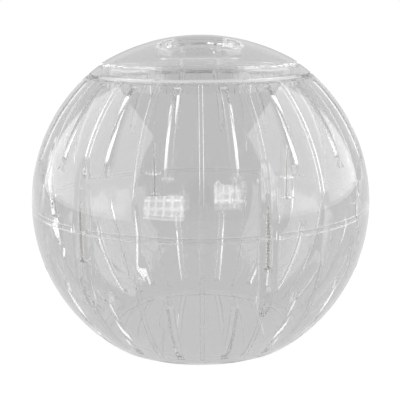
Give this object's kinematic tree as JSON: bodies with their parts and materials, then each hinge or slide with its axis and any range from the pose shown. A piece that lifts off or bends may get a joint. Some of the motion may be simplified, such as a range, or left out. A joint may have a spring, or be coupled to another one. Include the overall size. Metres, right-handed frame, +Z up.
{
  "type": "hamster ball",
  "caption": "Clear plastic running ball for a hamster: two half shells screwed together at the seam, air slots, a flat base and a plug lid with finger pockets.",
  "frame": {"origin": "centre of the flat base, on the surface that the ball stands on", "axes": "+Z up through the lid, -Y towards the picture's viewer, +X to the viewer's right"},
  "size_m": [0.18, 0.18, 0.1603],
  "materials": {
    "clear_shell": "gloss",
    "clear_lid": "gloss",
    "screw_steel": "satin"
  },
  "bodies": {
    "ball": {"upper_shell": "clear_shell", "lower_shell": "clear_shell", "screw_1": "screw_steel", "screw_2": "screw_steel", "screw_3": "screw_steel", "screw_4": "screw_steel", "screw_5": "screw_steel", "screw_6": "screw_steel"},
    "lid": {"lid": "clear_lid"}
  },
  "joints": [
    {"name": "lid_lift", "type": "slide", "parent": "ball", "child": "lid", "axis": [0, 0, 1], "range_m": [0, 0.06]}
  ]
}
